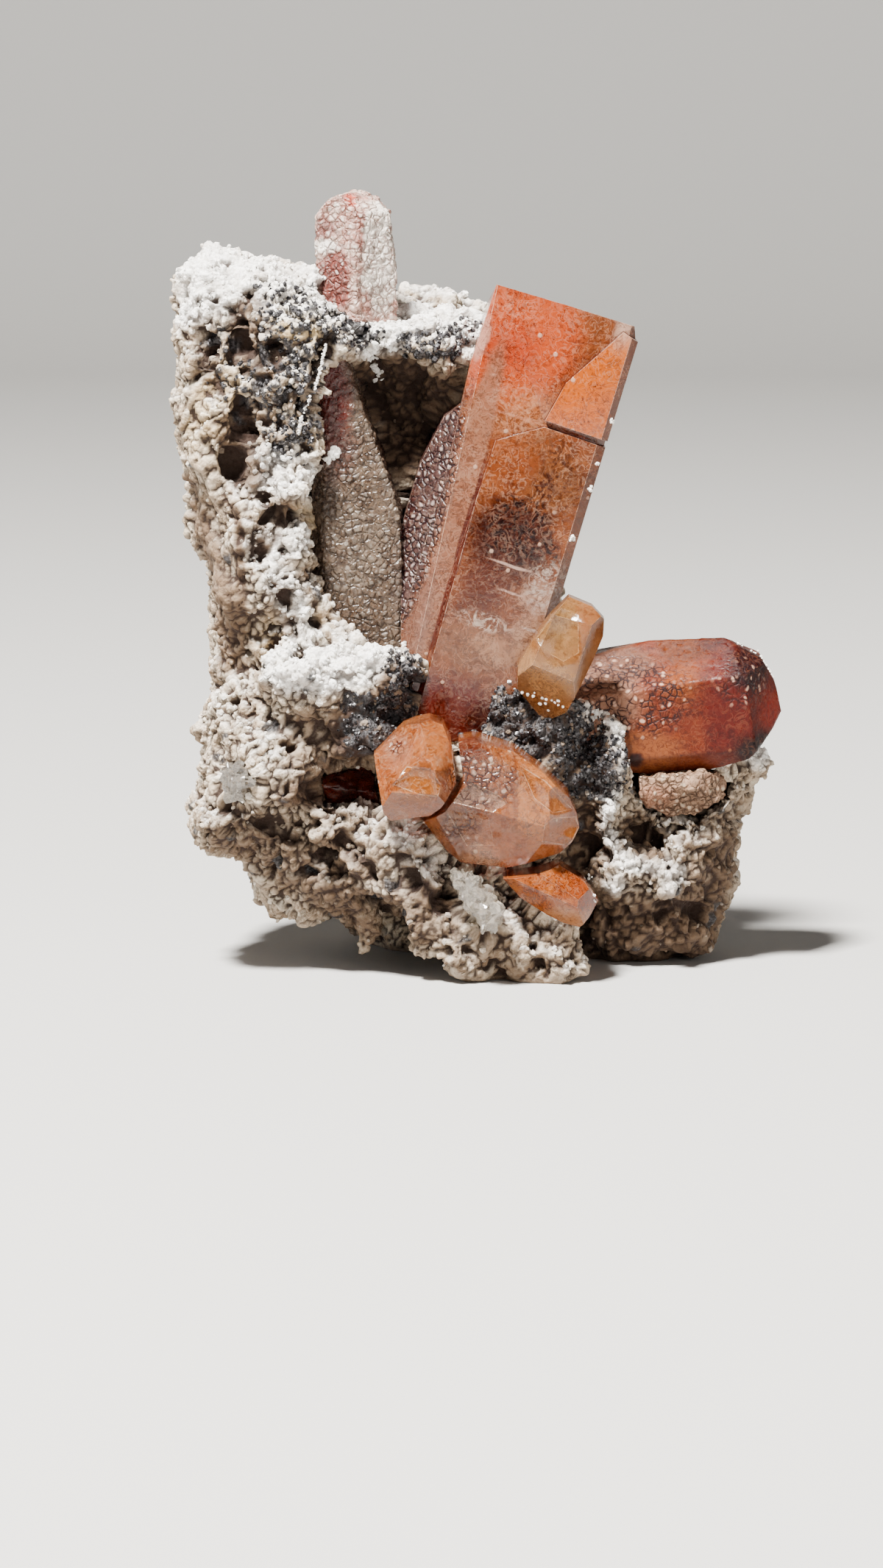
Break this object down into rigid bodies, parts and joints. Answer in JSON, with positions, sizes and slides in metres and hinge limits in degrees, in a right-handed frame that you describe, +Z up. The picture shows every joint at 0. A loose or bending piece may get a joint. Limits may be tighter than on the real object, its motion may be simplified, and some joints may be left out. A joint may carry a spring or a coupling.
{
  "type": "topaz on matrix",
  "caption": "Leaning orange topaz prisms on an upright piece of pale, pitted rhyolite, with smaller crystals around their foot.",
  "frame": {"origin": "middle of the outline seen from above, at the floor", "axes": "+Z up, the side with the crystals faces -Y, the leaning prisms point up and to +X"},
  "size_m": [0.023, 0.0156, 0.0291],
  "materials": {
    "rhyolite": "rough, granular, cream to white with grey and tan stains",
    "topaz_orange": "clear orange to red-brown with frosted faces",
    "topaz_honey": "clear pale honey yellow",
    "topaz_peach": "clear peach orange with frosted faces",
    "topaz_red": "orange to dark red, finely frosted",
    "topaz_smoky": "grey-brown, corroded and translucent",
    "topaz_frosted": "whitish pink, frosted",
    "clear": "clear and glassy"
  },
  "bodies": {
    "root": {"matrix": "rhyolite", "tall_crystals": "topaz_orange", "smoky_crystal": "topaz_smoky", "top_crystal": "topaz_frosted", "honey_crystal": "topaz_honey", "right_crystal": "topaz_red", "front_left_crystal": "topaz_peach", "front_middle_crystal": "topaz_peach", "front_lower_crystal": "topaz_orange", "clear_crystal": "clear", "hollow_crystal": "topaz_red", "under_crystal": "topaz_peach", "glassy_grain": "clear"}
  },
  "joints": []
}
